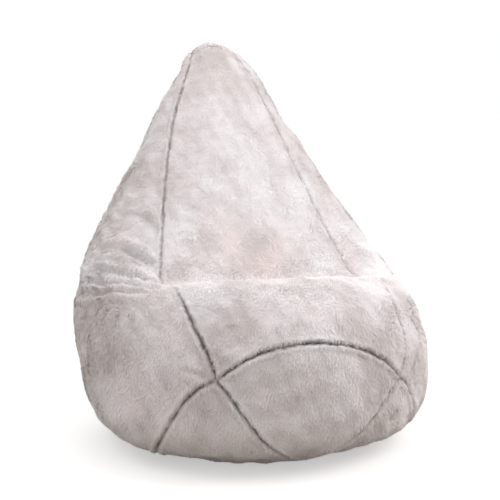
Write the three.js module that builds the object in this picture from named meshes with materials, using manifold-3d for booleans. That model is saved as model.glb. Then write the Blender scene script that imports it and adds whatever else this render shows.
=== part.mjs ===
// Fur bean bag chair with a high back: a panelled cover with a zip in its back, an inner liner with
// its own zip, and the bead filling. Millimetres, +Z up, front towards -Y, standing on z = 0.
import * as THREE from "three";
import { mergeVertices } from "three/addons/utils/BufferGeometryUtils.js";
import Module from "manifold-3d";

// Driving dimensions, in mm
const chairWidth = 880;
const chairDepth = 950;
const chairHeight = 1000;
const coverThickness = 12; // backing cloth and pile together
const seamGap = 4; // groove left between two cover panels
const linerGap = 14; // clear space between the cover and the liner
const linerThickness = 2;
const linerSeamGap = 4;
const fillGap = 12; // clear space between the liner and the beads
const zipLength = 360;
const zipSlotWidth = 13;
const zipSlotMargin = 34; // slot left free past each end of the zip, where the pull tab hangs
const tapeWidth = 13;
const tapeThickness = 0.7;
const coilWidth = 2;
const coilHeight = 2.2;
const sliderLength = 15;
const sliderWidth = 10;
const sliderWall = 1.3;
const sliderPost = 1.2; // wall of the slider that runs between the two coils
const pullLength = 28;
const pullWidth = 7;
const pullThickness = 1.6;
const pinRadius = 0.8;
const stopLength = 4;
const linerZipLength = 300;
const linerSlotWidth = 10.5;
const linerTapeWidth = 11;
const linerSliderLength = 9;
const linerSliderWidth = 8;
const labelHeight = 36;
const labelReach = 16; // how far the care label stands out of the pile
const labelThickness = 0.5;
const clearance = 0.3; // between parts that run on each other or lie side by side
const tapeDrop = 2; // tape below the inner face of its panel

// Shape of the filled bag as fourteen rings from the middle of the base to the tip, in shares of
// half the depth, half the width and the height. front and back are [depth, height], side is
// [width, depth, height], seam is the angle from the front to the seam beside the front panel.
const rings = [
  { front: [0, 0], side: [0, 0, 0], back: [0, 0], seam: 31 },
  { front: [-0.32, 0], side: [0.34, 0, 0], back: [0.36, 0], seam: 31 },
  { front: [-0.58, 0], side: [0.65, 0, 0], back: [0.67, 0], seam: 31 },
  { front: [-0.91, 0.08], side: [0.92, -0.12, 0.07], back: [0.9, 0.07], seam: 31 },
  { front: [-1, 0.235], side: [0.99, -0.01, 0.21], back: [0.98, 0.2], seam: 31 },
  { front: [-0.91, 0.37], side: [0.99, 0.12, 0.325], back: [1, 0.33], seam: 36 },
  { front: [-0.65, 0.44], side: [0.96, 0.2, 0.385], back: [0.95, 0.43], seam: 38 },
  { front: [-0.27, 0.4], side: [0.92, 0.24, 0.45], back: [0.9, 0.53], seam: 39 },
  { front: [-0.02, 0.515], side: [0.765, 0.325, 0.56], back: [0.85, 0.63], seam: 41 },
  { front: [0.19, 0.657], side: [0.59, 0.425, 0.68], back: [0.8, 0.73], seam: 45 },
  { front: [0.365, 0.805], side: [0.4, 0.525, 0.812], back: [0.75, 0.83], seam: 52 },
  { front: [0.51, 0.928], side: [0.21, 0.61, 0.938], back: [0.7, 0.93], seam: 61 },
  { front: [0.57, 0.972], side: [0.145, 0.635, 0.973], back: [0.7, 0.973], seam: 66 },
  { front: [0.65, 1], side: [0, 0.65, 1], back: [0.65, 1], seam: 70 },
];
const lastRing = rings.length - 1;
const cornerRing = 4; // where the seams beside the front panel meet the seam over the front of the base
const archRing = 4.62; // top of that seam, on the middle line
const veeRing = 2.35; // foot of the two seams that run down to the middle of the front
const footRing = 2.23; // where the outer seam reaches the floor
const backFootRing = 1.85; // edge of the base panel under the back
const capRing = 12; // the front panel closes over the tip from here
const capSpan = 0.5;
const linerCapRing = 10.5; // the liner stops short of the tip, and its front closes over from here
const cornerAngle = radians(rings[cornerRing].seam);
const footAngle = radians(63);
const backSeamAngle = radians(135);
const zipFromRing = 6.2; // lower end of the zip, on the straight stretch of the back line
const seamTilt = 0.12; // rings that the seams in front sit higher on the left and lower on the right
const seamBow = radians(4); // the right seam bows outwards above its corner
const slotCutDepth = 95; // more than the covers' thickness

function radians(degrees) {
  return (degrees * Math.PI) / 180;
}

function mix(a, b, share) {
  return a + (b - a) * share;
}

// Smooth lines through the rings: one up the front, one up the side and one up the back.
const frontLine = line(rings.map(({ front: [y, z] }) => [0, y, z]));
const sideLine = line(rings.map(({ side }) => side));
const backLine = line(rings.map(({ back: [y, z] }) => [0, y, z]));
const seamLine = line(rings.map(({ seam }) => [radians(seam), 0, 0]), 1, 1, 1);

function line(points, x = chairWidth / 2, y = chairDepth / 2, z = chairHeight) {
  const scaled = points.map((p) => new THREE.Vector3(p[0] * x, p[1] * y, p[2] * z));
  return new THREE.CatmullRomCurve3(scaled, false, "catmullrom", 0.5);
}

function bell(value, middle, width) {
  return Math.exp(-(((value - middle) / width) ** 2));
}

// Where the cloth has slid to over the filling, with the seams uneven between left and right.
function settled(angle, ring) {
  const turn = Math.atan2(Math.sin(angle), Math.cos(angle));
  const front = Math.cos(turn) > 0 ? Math.sin(2 * turn) : 0;
  const bow = seamBow * bell(ring, 4.4, 0.5) * bell(turn, radians(36), radians(14));
  return [turn + bow, ring - seamTilt * front * bell(ring, 4.1, 0.8)];
}

// The point of the pile's surface at an angle from the front and a ring number between 0 and the last.
function surface(seamAngle, seamRing) {
  const [angle, ring] = settled(seamAngle, seamRing);
  const at = THREE.MathUtils.clamp(ring / lastRing, 0, 1);
  const side = sideLine.getPoint(at);
  const edge = (Math.cos(angle) >= 0 ? frontLine : backLine).getPoint(at);
  const share = Math.abs(Math.cos(angle));
  const z = mix(side.z, edge.z, share * share);
  return new THREE.Vector3(side.x * Math.sin(angle), mix(side.y, edge.y, share), Math.max(z, 0));
}

function outward(angle, ring) {
  if (ring < 0.01) return new THREE.Vector3(0, 0, -1);
  if (ring > lastRing - 0.01) return new THREE.Vector3(0, 0, 1);
  const step = 0.02;
  const around = surface(angle + step, ring).sub(surface(angle - step, ring));
  const up = surface(angle, ring + step).sub(surface(angle, ring - step));
  return around.cross(up).normalize();
}

function layer(angle, ring, depth) {
  return surface(angle, ring).addScaledVector(outward(angle, ring), -depth);
}

// Seams of the cover, as a ring number for an angle or an angle for a ring number.
function frontSeam(ring) {
  const angle = seamLine.getPoint(THREE.MathUtils.clamp(ring, cornerRing, capRing) / lastRing).x;
  const over = THREE.MathUtils.clamp((ring - capRing) / capSpan, 0, 1);
  return mix(angle, Math.PI, over);
}

function capSeam(angle) {
  const start = frontSeam(capRing);
  return capRing + (capSpan * (angle - start)) / (Math.PI - start);
}

function archSeam(share) {
  return mix(archRing, cornerRing, share * share);
}

// Edge of the base panel: two corners rise up the front, and the rest lies under the bag.
function baseSeam(angle) {
  const turn = Math.abs(angle);
  if (turn < cornerAngle) return mix(veeRing, cornerRing, (turn / cornerAngle) ** 1.2);
  if (turn < footAngle) {
    return mix(cornerRing, footRing, ((turn - cornerAngle) / (footAngle - cornerAngle)) ** 1.5);
  }
  const rest = (Math.PI - turn) / (Math.PI - footAngle);
  return mix(backFootRing, footRing, rest * rest);
}

// One net for the whole bag: the cover, the liner and the beads share its ring levels, which lie
// closer together in the crease between the seat and the back.
function netLevels(from, to, coarse, fine) {
  const levels = [from];
  while (levels.at(-1) < to - 1e-6) {
    const at = levels.at(-1);
    levels.push(Math.min(at + (at > 5.3 && at < 8 ? fine : coarse), to));
  }
  return levels;
}

const bodyLevels = netLevels(cornerRing, capRing, 0.5, 0.25);
const footLevels = netLevels(backFootRing, cornerRing, 0.27, 0.27);
const frontColumns = 16;
const sideColumns = 12;
const backColumns = 5;

// A panel is a patch of the net: its angle at a ring, and the rings of its foot and its head.
const frontPatch = {
  angle: (across, ring) => (2 * across - 1) * frontSeam(ring),
  foot: (across) => archSeam(2 * across - 1),
  head: () => lastRing,
};
const lensPatch = {
  angle: (across, ring) => (2 * across - 1) * frontSeam(ring),
  foot: (across) => baseSeam((2 * across - 1) * cornerAngle),
  head: (across) => archSeam(2 * across - 1),
};
const sidePatch = {
  angle: (across, ring) => mix(frontSeam(Math.min(ring, capRing)), backSeamAngle, across),
  foot: (across) => baseSeam(mix(cornerAngle, backSeamAngle, across)),
  head: (across) => capSeam(mix(frontSeam(capRing), backSeamAngle, across)),
};
const backPatch = {
  angle: (across) => mix(backSeamAngle, Math.PI, across),
  foot: (across) => baseSeam(mix(backSeamAngle, Math.PI, across)),
  head: (across) => capSeam(mix(backSeamAngle, Math.PI, across)),
};

function mirrored({ angle, foot, head }) {
  return {
    angle: (across, ring) => -angle(1 - across, ring),
    foot: (across) => foot(1 - across),
    head: (across) => head(1 - across),
  };
}

// How many rings, or how much of a panel's width, a length on the surface takes up at a point.
function ringsFor(length, angle, ring) {
  const step = ring > 1 ? -0.1 : 0.1;
  return (length * 0.1) / surface(angle, ring).distanceTo(surface(angle, ring + step));
}

function shareFor(length, patch, ring) {
  let width = 0;
  for (let i = 0; i < 12; i++) {
    const here = surface(patch.angle(i / 12, ring), ring);
    width += here.distanceTo(surface(patch.angle((i + 1) / 12, ring), ring));
  }
  return Math.min(length / Math.max(width, length), 0.03);
}

// A closed shell over a patch, between two depths below the pile, with a margin free at its edges.
function shell(patch, columns, levels, outer, inner, margin, closedTop = false) {
  const grid = [];
  for (const level of levels) {
    for (let column = 0; column <= columns; column++) {
      const across = column / columns;
      const foot = patch.foot(across);
      const head = patch.head(across);
      const low = foot + ringsFor(margin, patch.angle(across, foot), foot);
      const high = closedTop ? head : head - ringsFor(margin, patch.angle(across, head), head);
      const ring = THREE.MathUtils.clamp(level, low, Math.max(low, high));
      const trim = shareFor(margin, patch, ring);
      grid.push([patch.angle(mix(trim, 1 - trim, across), ring), ring]);
    }
  }
  const points = [outer, inner].flatMap((depth) => grid.map((at) => layer(...at, depth)));
  const stride = columns + 1;
  const rows = levels.length - 1;
  const count = stride * levels.length;
  const faces = [];
  const quad = (a, b, c, d) => faces.push(a, b, c, a, c, d);
  for (let row = 0; row < rows; row++) {
    for (let column = 0; column < columns; column++) {
      const a = row * stride + column;
      quad(a, a + 1, a + 1 + stride, a + stride);
      quad(count + a, count + a + stride, count + a + 1 + stride, count + a + 1);
    }
  }
  for (let column = 0; column < columns; column++) {
    const last = rows * stride + column;
    quad(column, count + column, count + column + 1, column + 1);
    quad(last, last + 1, count + last + 1, count + last);
  }
  for (let row = 0; row < rows; row++) {
    const left = row * stride;
    const right = left + columns;
    quad(left, left + stride, count + left + stride, count + left);
    quad(right, count + right, count + right + stride, right + stride);
  }
  return closedGeometry(points, faces);
}

// A closed shell round the middle of the base, out to the ring that edge gives for an angle.
function roundShell(angles, levels, edge, outer, inner) {
  const grid = levels.flatMap((level) => angles.map((angle) => [angle, Math.min(level, edge(angle))]));
  const points = [outer, inner].flatMap((depth) => grid.map((at) => layer(...at, depth)));
  const columns = angles.length;
  const count = grid.length;
  const rim = count - columns;
  const faces = [];
  const quad = (a, b, c, d) => faces.push(a, b, c, a, c, d);
  for (let column = 0; column < columns; column++) {
    const next = (column + 1) % columns;
    for (let low = 0; low < rim; low += columns) {
      const [a, b] = [low + column, low + next];
      quad(a, b, b + columns, a + columns);
      quad(count + a, count + a + columns, count + b + columns, count + b);
    }
    quad(rim + column, rim + next, count + rim + next, count + rim + column);
  }
  return closedGeometry(points, faces);
}

function closedGeometry(points, faces) {
  const key = (p) => p.toArray().map((v) => Math.round(v * 1000)).join();
  const kept = [];
  for (let i = 0; i < faces.length; i += 3) {
    const corners = faces.slice(i, i + 3);
    const keys = new Set(corners.map((c) => key(points[c])));
    if (keys.size === 3) kept.push(...corners);
  }
  const geometry = new THREE.BufferGeometry().setFromPoints(points);
  return mergeVertices(geometry.setIndex(kept), 1e-3);
}

const wasm = await Module();
wasm.setup();

function toSolid(geometry) {
  const bare = geometry.clone().deleteAttribute("normal").deleteAttribute("uv");
  const merged = mergeVertices(bare, 1e-3);
  const vertProperties = merged.attributes.position.array;
  const triVerts = new Uint32Array(merged.index.array);
  return new wasm.Manifold(new wasm.Mesh({ numProp: 3, vertProperties, triVerts }));
}

function toGeometry(solid) {
  const { vertProperties, triVerts } = solid.getMesh();
  const geometry = new THREE.BufferGeometry();
  geometry.setAttribute("position", new THREE.BufferAttribute(vertProperties, 3));
  geometry.setIndex(new THREE.BufferAttribute(triVerts, 1));
  geometry.computeVertexNormals();
  return geometry;
}

function box(width, depth, height, x = 0, y = 0, z = 0) {
  return new THREE.BoxGeometry(width, depth, height).translate(x, y, z);
}

function joined(geometries) {
  return toGeometry(geometries.map(toSolid).reduce((a, b) => a.add(b)));
}

const finishes = {
  fur: { color: 0xcfc5c1, roughness: 0.95, metalness: 0 },
  tape: { color: 0xb9b0ab, roughness: 0.9, metalness: 0 },
  coil: { color: 0xaaa19c, roughness: 0.45, metalness: 0 },
  nickel: { color: 0x9c9a98, roughness: 0.3, metalness: 1 },
  liner: { color: 0xe9e7e2, roughness: 0.8, metalness: 0 },
  beads: { color: 0xf6f5f2, roughness: 0.7, metalness: 0 },
  label: { color: 0xf4f2ee, roughness: 0.8, metalness: 0 },
};

function piece(name, geometry, finish) {
  const mesh = new THREE.Mesh(geometry, new THREE.MeshStandardMaterial(finishes[finish]));
  mesh.name = name;
  return mesh;
}

// A frame that lies on the straight stretch of the back: z runs up the back line and y points out.
const backLow = surface(Math.PI, 6);
const backHigh = surface(Math.PI, 10);
const backLean = Math.atan2(backLow.y - backHigh.y, backHigh.z - backLow.z);

function backFrame(ring) {
  const frame = new THREE.Group();
  frame.position.copy(surface(Math.PI, ring));
  frame.rotation.x = backLean;
  frame.updateMatrixWorld();
  return frame;
}

function slotSolid(frame, width, from, to) {
  const cutter = box(width, slotCutDepth, to - from, 0, 0, (from + to) / 2);
  return toSolid(cutter.applyMatrix4(frame.matrixWorld));
}

function cut(geometry, solid) {
  return toGeometry(toSolid(geometry).subtract(solid));
}

// Cover

function buildCover(zipFrame) {
  const margin = seamGap / 2;
  const skin = (patch, columns, levels, closedTop) =>
    shell(patch, columns, levels, 0, coverThickness, margin, closedTop);
  const turn = (from, to, count) => [...Array(count).keys()].map((i) => mix(from, to, (i + 1) / count));
  const swing = [
    ...turn(frontSeam(capRing), backSeamAngle, sideColumns / 2),
    ...turn(backSeamAngle, Math.PI, backColumns),
  ].map(capSeam);
  const frontLevels = [...bodyLevels, ...swing, mix(capRing + capSpan, lastRing, 0.5), lastRing];
  const sideLevels = [...footLevels, ...bodyLevels.slice(1), capRing + capSpan];
  const lensLevels = [...netLevels(veeRing, cornerRing, 0.3, 0.3), 4.3, archRing];
  const slot = slotSolid(zipFrame, zipSlotWidth, -zipSlotMargin, zipLength + zipSlotMargin);
  const backRight = cut(skin(backPatch, backColumns, sideLevels), slot);
  const backLeft = cut(skin(mirrored(backPatch), backColumns, sideLevels), slot);

  // The base's net turns through the same angles as the panels that it is sewn to.
  const half = [];
  for (let i = 0; i < frontColumns / 2; i++) half.push((cornerAngle * i) / (frontColumns / 2));
  for (let i = 0; i < sideColumns; i++) half.push(mix(cornerAngle, backSeamAngle, i / sideColumns));
  for (let i = 0; i < backColumns; i++) half.push(mix(backSeamAngle, Math.PI, i / backColumns));
  const angles = [...half, Math.PI, ...half.slice(1).reverse().map((angle) => -angle)];
  const baseLevels = [0, 0.9, ...footLevels];
  const edge = (angle) => baseSeam(angle) - ringsFor(margin, angle, baseSeam(angle));
  const base = roundShell(angles, baseLevels, edge, 0, coverThickness);

  return [
    piece("front_panel", skin(frontPatch, frontColumns, frontLevels, true), "fur"),
    piece("right_side_panel", skin(sidePatch, sideColumns, sideLevels), "fur"),
    piece("left_side_panel", skin(mirrored(sidePatch), sideColumns, sideLevels), "fur"),
    piece("back_right_panel", backRight, "fur"),
    piece("back_left_panel", backLeft, "fur"),
    piece("front_lens_panel", skin(lensPatch, frontColumns, lensLevels), "fur"),
    piece("base_panel", base, "fur"),
  ];
}

// Liner and beads

function buildLiner(linerFrame) {
  const outer = coverThickness + linerGap;
  const inner = outer + linerThickness;
  const margin = linerSeamGap / 2;
  const baseRing = 2.75; // the seam round the liner's base
  const frontEdge = radians(100);
  const over = (ring) => THREE.MathUtils.clamp((ring - linerCapRing) / capSpan, 0, 1);
  const front = {
    angle: (across, ring) => (2 * across - 1) * mix(frontEdge, Math.PI, over(ring)),
    foot: () => baseRing,
    head: () => lastRing,
  };
  const back = {
    angle: (across) => mix(frontEdge, Math.PI, across),
    foot: () => baseRing,
    head: (across) => linerCapRing + capSpan * across,
  };
  const skin = (patch, columns, levels, closedTop) =>
    shell(patch, columns, levels, outer, inner, margin, closedTop);
  const levels = [...netLevels(baseRing, cornerRing, 0.4, 0.4), ...netLevels(4.5, linerCapRing, 0.5, 0.25)];
  const frontColumnCount = 14;
  const backColumnCount = 6;
  const linerTip = linerCapRing + capSpan;
  const swing = netLevels(linerCapRing, linerTip, capSpan / backColumnCount, capSpan).slice(1);
  const slot = slotSolid(linerFrame, linerSlotWidth, -stopLength - 4, linerZipLength + stopLength + 4);
  const backLevels = [...levels, linerTip];
  const angles = [...Array(30).keys()].map((i) => (2 * Math.PI * i) / 30);
  const edge = (angle) => baseRing - ringsFor(margin, angle, baseRing);
  const base = roundShell(angles, [0, 1.2, 1.85, 2.15, 2.45, baseRing], edge, outer, inner);
  return [
    piece("liner_front", skin(front, frontColumnCount, [...levels, ...swing, lastRing], true), "liner"),
    piece("liner_back_right", cut(skin(back, backColumnCount, backLevels), slot), "liner"),
    piece("liner_back_left", cut(skin(mirrored(back), backColumnCount, backLevels), slot), "liner"),
    piece("liner_base", base, "liner"),
  ];
}

function buildFill() {
  const depth = coverThickness + linerGap + linerThickness + fillGap;
  const columns = 24;
  const levels = [0, 1.2, 1.85, 2.15, 2.45, 2.75, 3.15, 3.55, ...bodyLevels.slice(0, -3)];
  const points = [];
  const faces = [];
  for (const ring of levels.slice(1)) {
    for (let column = 0; column < columns; column++) {
      points.push(layer((2 * Math.PI * column) / columns, ring, depth));
    }
  }
  const last = points.length - columns;
  const top = new THREE.Box3().setFromPoints(points.slice(last)).getCenter(new THREE.Vector3());
  points.push(layer(0, 0, depth), top);
  for (let column = 0; column < columns; column++) {
    const next = (column + 1) % columns;
    for (let low = 0; low < last; low += columns) {
      faces.push(low + column, low + next, low + columns + next);
      faces.push(low + column, low + columns + next, low + columns + column);
    }
    faces.push(points.length - 2, next, column);
    faces.push(points.length - 1, last + column, last + next);
  }
  return piece("bean_fill", closedGeometry(points, faces), "beads");
}

// Zips. Each lies in its own frame, with y = 0 at the pile's surface and z = 0 at its closed end.

function zipLevels(panelInner) {
  const tape = -panelInner - tapeDrop - tapeThickness / 2;
  const coil = tape + tapeThickness / 2 + clearance + coilHeight / 2;
  return { tape, coil, over: coil + coilHeight / 2 + clearance, under: tape - tapeThickness / 2 - clearance };
}

function buildZip(prefix, frame, length, levels, tapeReach) {
  const inner = sliderPost / 2 + clearance;
  const coilX = inner + coilWidth / 2;
  for (const [sideName, sign] of [["left", -1], ["right", 1]]) {
    const tapeX = sign * (inner + tapeReach / 2);
    const tape = box(tapeReach, tapeThickness, length + 2 * stopLength, tapeX, levels.tape, length / 2);
    const coil = box(coilWidth, coilHeight, length, sign * coilX, levels.coil, length / 2);
    const stop = box(coilWidth, coilHeight, stopLength, sign * coilX, levels.coil);
    stop.translate(0, 0, -clearance - stopLength / 2);
    frame.add(piece(`${prefix}_tape_${sideName}`, tape, "tape"));
    frame.add(piece(`${prefix}_coil_${sideName}`, coil, "coil"));
    frame.add(piece(`${prefix}_closed_stop_${sideName}`, stop, "nickel"));
  }
  const openStop = box(2 * inner + 2 * coilWidth, coilHeight, stopLength, 0, levels.coil, 0);
  openStop.translate(0, 0, length + clearance + stopLength / 2);
  frame.add(piece(`${prefix}_open_stop`, openStop, "nickel"));
}

// The slider's body, with its foot at z = 0: two plates joined by a post, and a flange down each side.
function sliderBody(levels, width, length) {
  const middle = length / 2;
  const plateTop = levels.over + sliderWall / 2;
  const plateLow = levels.under - sliderWall / 2;
  const postHeight = levels.over - levels.under + 2 * sliderWall;
  const flangeWall = 0.8;
  const flangeHeight = coilHeight + clearance;
  const flangeY = levels.over - flangeHeight / 2;
  const flangeX = width / 2 - flangeWall / 2;
  return [
    box(width, sliderWall, length, 0, plateTop, middle),
    box(width, sliderWall, length, 0, plateLow, middle),
    box(sliderPost, postHeight, length / 3, 0, (plateTop + plateLow) / 2, length / 6),
    box(flangeWall, flangeHeight, length, flangeX, flangeY + 0.05, middle),
    box(flangeWall, flangeHeight, length, -flangeX, flangeY + 0.05, middle),
  ];
}

// Two lugs on the slider carry a cross pin, and the pull tab's eye hangs on it.
const pinZ = sliderLength * 0.45;
const eyeHalf = pinRadius + clearance;
const lugGap = pullWidth - 3;
const lugWall = 1;

const knuckleRadius = pinRadius + clearance + 0.9;

function pinHeight(levels) {
  return levels.over + sliderWall + clearance + knuckleRadius;
}

function buildSlider(levels) {
  const y = pinHeight(levels);
  const lugX = lugGap / 2 + lugWall / 2;
  const lugBase = levels.over + sliderWall / 2;
  const lugTop = y + pinRadius + 0.6;
  const lug = (sign) =>
    box(lugWall, lugTop - lugBase, 5, sign * lugX, (lugTop + lugBase) / 2, pinZ);
  const pin = new THREE.CylinderGeometry(pinRadius, pinRadius, lugGap + lugWall, 16);
  pin.rotateZ(Math.PI / 2).translate(0, y, pinZ);
  const geometry = joined([...sliderBody(levels, sliderWidth, sliderLength), lug(1), lug(-1), pin]);
  return piece("zip_slider", geometry, "nickel");
}

// The tab hangs down from the pin: a narrow neck between the lugs, then the full width.
function buildPull(levels) {
  const y = pinHeight(levels);
  const neckWidth = lugGap - 2 * clearance;
  const neckLength = 4.5;
  const half = pullWidth / 2;
  const outline = new THREE.Shape();
  outline.moveTo(-neckWidth / 2, 0);
  outline.lineTo(-neckWidth / 2, -neckLength);
  outline.lineTo(-half, -neckLength - 2);
  outline.lineTo(-half, -pullLength + half);
  outline.absarc(0, -pullLength + half, half, Math.PI, 2 * Math.PI, false);
  outline.lineTo(half, -neckLength - 2);
  outline.lineTo(neckWidth / 2, -neckLength);
  outline.lineTo(neckWidth / 2, 0);
  outline.closePath();
  const options = { depth: pullThickness, bevelEnabled: false, curveSegments: 10 };
  const plate = new THREE.ExtrudeGeometry(outline, options).translate(0, 0, -pullThickness / 2);
  plate.rotateX(Math.PI / 2); // the outline's up direction turns to z, its thickness to y
  const round = (radius, width) => new THREE.CylinderGeometry(radius, radius, width, 20).rotateZ(Math.PI / 2);
  const knuckle = round(knuckleRadius, neckWidth);
  const bore = round(eyeHalf, neckWidth + 2);
  const solid = toSolid(plate).add(toSolid(knuckle)).subtract(toSolid(bore));
  return piece("zip_pull", toGeometry(solid).translate(0, y, pinZ), "nickel");
}

function buildLabel() {
  const ring = 3.6;
  const at = surface(Math.PI, ring);
  const out = outward(Math.PI, ring);
  const reach = coverThickness + labelReach;
  const label = piece("care_label", box(labelThickness, reach, labelHeight), "label");
  label.position.copy(at).addScaledVector(out, labelReach - reach / 2);
  label.rotation.x = Math.atan2(out.z, out.y);
  return label;
}

const chair = new THREE.Group();
const zipFrame = backFrame(zipFromRing);
const coverLevels = zipLevels(coverThickness);
chair.add(...buildCover(zipFrame));
buildZip("zip", zipFrame, zipLength, coverLevels, tapeWidth);
zipFrame.add(buildSlider(coverLevels), buildPull(coverLevels));
chair.add(zipFrame, buildLabel());

const linerFrame = backFrame(zipFromRing);
const linerLevels = zipLevels(coverThickness + linerGap + linerThickness);
chair.add(...buildLiner(linerFrame), buildFill());
buildZip("liner_zip", linerFrame, linerZipLength, linerLevels, linerTapeWidth);
const linerSlider = joined(sliderBody(linerLevels, linerSliderWidth, linerSliderLength));
linerFrame.add(piece("liner_zip_slider", linerSlider, "nickel"));
chair.add(linerFrame);

// The origin is the middle of the chair's footprint, at floor level.
const extent = new THREE.Box3().setFromObject(chair);
chair.position.y = -(extent.min.y + extent.max.y) / 2;

export default chair;
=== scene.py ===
import math

import bmesh
import bpy
import numpy as np
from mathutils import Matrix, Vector, kdtree


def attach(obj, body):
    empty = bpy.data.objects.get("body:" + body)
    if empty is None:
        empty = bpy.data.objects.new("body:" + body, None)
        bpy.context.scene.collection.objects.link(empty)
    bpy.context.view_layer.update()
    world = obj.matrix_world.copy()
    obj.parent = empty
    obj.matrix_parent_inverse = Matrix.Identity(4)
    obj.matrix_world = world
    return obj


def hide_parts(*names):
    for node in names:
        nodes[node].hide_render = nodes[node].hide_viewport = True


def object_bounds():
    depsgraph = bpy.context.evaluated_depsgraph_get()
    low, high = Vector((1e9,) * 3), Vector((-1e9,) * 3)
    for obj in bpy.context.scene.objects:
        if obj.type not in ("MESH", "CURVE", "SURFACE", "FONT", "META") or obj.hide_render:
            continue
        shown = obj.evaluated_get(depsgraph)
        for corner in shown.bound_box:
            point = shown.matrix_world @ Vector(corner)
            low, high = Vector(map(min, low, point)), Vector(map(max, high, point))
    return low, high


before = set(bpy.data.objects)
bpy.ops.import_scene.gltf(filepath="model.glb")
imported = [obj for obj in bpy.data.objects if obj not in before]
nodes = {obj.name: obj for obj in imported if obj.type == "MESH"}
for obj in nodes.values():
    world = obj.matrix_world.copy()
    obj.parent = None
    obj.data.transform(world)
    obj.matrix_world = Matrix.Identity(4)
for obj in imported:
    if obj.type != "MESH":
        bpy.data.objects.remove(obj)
cadLow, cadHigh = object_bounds()
scene = bpy.context.scene


def linearColour(hexValue):
    channels = [int(hexValue[i:i + 2], 16) / 255 for i in (1, 3, 5)]
    return [c / 12.92 if c <= 0.04045 else ((c + 0.055) / 1.055) ** 2.4 for c in channels] + [1.0]


def mix(a, b, share):
    return a + (b - a) * share


def unit(vectors):
    return vectors / np.maximum(np.linalg.norm(vectors, axis=-1, keepdims=True), 1e-12)


# Camera, floor and soft studio light
shot = dict(azimuth=-19.7, elevation=7.9, distance=3.2, pivot=(0, 0, 0.45), aim=(0.002, 0, 0.475), lens=90.3)


def makeCamera():
    a, e = math.radians(shot["azimuth"]), math.radians(shot["elevation"])
    back = Vector((math.sin(a) * math.cos(e), -math.cos(a) * math.cos(e), math.sin(e)))
    camera = bpy.data.objects.new("camera", bpy.data.cameras.new("camera"))
    camera.location = Vector(shot["pivot"]) + back * shot["distance"]
    camera.rotation_euler = (Vector(shot["aim"]) - camera.location).to_track_quat("-Z", "Y").to_euler()
    camera.data.lens = shot["lens"]
    scene.collection.objects.link(camera)
    scene.camera = camera


# Softboxes aimed at the bag: azimuth and elevation in degrees, distance and size in metres, watts
lamps = dict(
    key=dict(azimuth=58, elevation=28, distance=1.8, size=1.2, power=18.0, colour="#FFFEFF"),
    top=dict(azimuth=0, elevation=86, distance=1.4, size=1.0, power=5.2, colour="#FBFDFF"),
    left=dict(azimuth=-75, elevation=42, distance=1.9, size=1.2, power=6.5, colour="#FFFEFD"),
    back=dict(azimuth=165, elevation=30, distance=2.6, size=1.6, power=9.0, colour="#FFFFFF"),
)


def makeLamps():
    for name, lamp in lamps.items():
        data = bpy.data.lights.new(name, "AREA")
        data.shape, data.size, data.energy = "DISK", lamp["size"], lamp["power"]
        data.color = linearColour(lamp["colour"])[:3]
        a, e = math.radians(lamp["azimuth"]), math.radians(lamp["elevation"])
        towards = Vector((math.sin(a) * math.cos(e), -math.cos(a) * math.cos(e), math.sin(e)))
        light = bpy.data.objects.new(name, data)
        light.location = Vector(shot["pivot"]) + towards * lamp["distance"]
        light.rotation_euler = towards.to_track_quat("Z", "Y").to_euler()
        scene.collection.objects.link(light)


# One node with its settings, and what feeds its sockets: another socket, a hex colour or a value
def addNode(tree, kind, sockets=None, **settings):
    node = tree.nodes.new(kind)
    for name, value in settings.items():
        setattr(node, name, value)
    for socket, value in (sockets or {}).items():
        if isinstance(value, bpy.types.NodeSocket):
            tree.links.new(value, node.inputs[socket])
        else:
            isHex = isinstance(value, str) and value.startswith("#")
            node.inputs[socket].default_value = linearColour(value) if isHex else value
    return node


def newMaterial(name, **shaderSockets):
    material = bpy.data.materials.new(name)
    material.use_nodes = True
    tree = material.node_tree
    tree.nodes.clear()
    sockets = {key.replace("_", " "): value for key, value in shaderSockets.items()}
    shader = addNode(tree, "ShaderNodeBsdfPrincipled", sockets)
    addNode(tree, "ShaderNodeOutputMaterial", {"Surface": shader.outputs[0]})
    return material, tree, shader, addNode(tree, "ShaderNodeTexCoord").outputs["Object"]


# The colour of a shader, and a height that its bump shows with a strength and a depth in metres
def finish(tree, shader, colour, height=None, strength=0.0, depth=0.0):
    tree.links.new(colour, shader.inputs["Base Color"])
    if height is not None:
        bump = addNode(tree, "ShaderNodeBump", {"Height": height, "Strength": strength, "Distance": depth})
        tree.links.new(bump.outputs[0], shader.inputs["Normal"])


stageLook = dict(
    paint="#CBC9C6", stipple="#D2D0CE", bounce="#A69C92", speckSize=0.004,
    glow=0.88, backdrop=1.02, lift=0.48, floorHalf=30,
)


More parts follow.
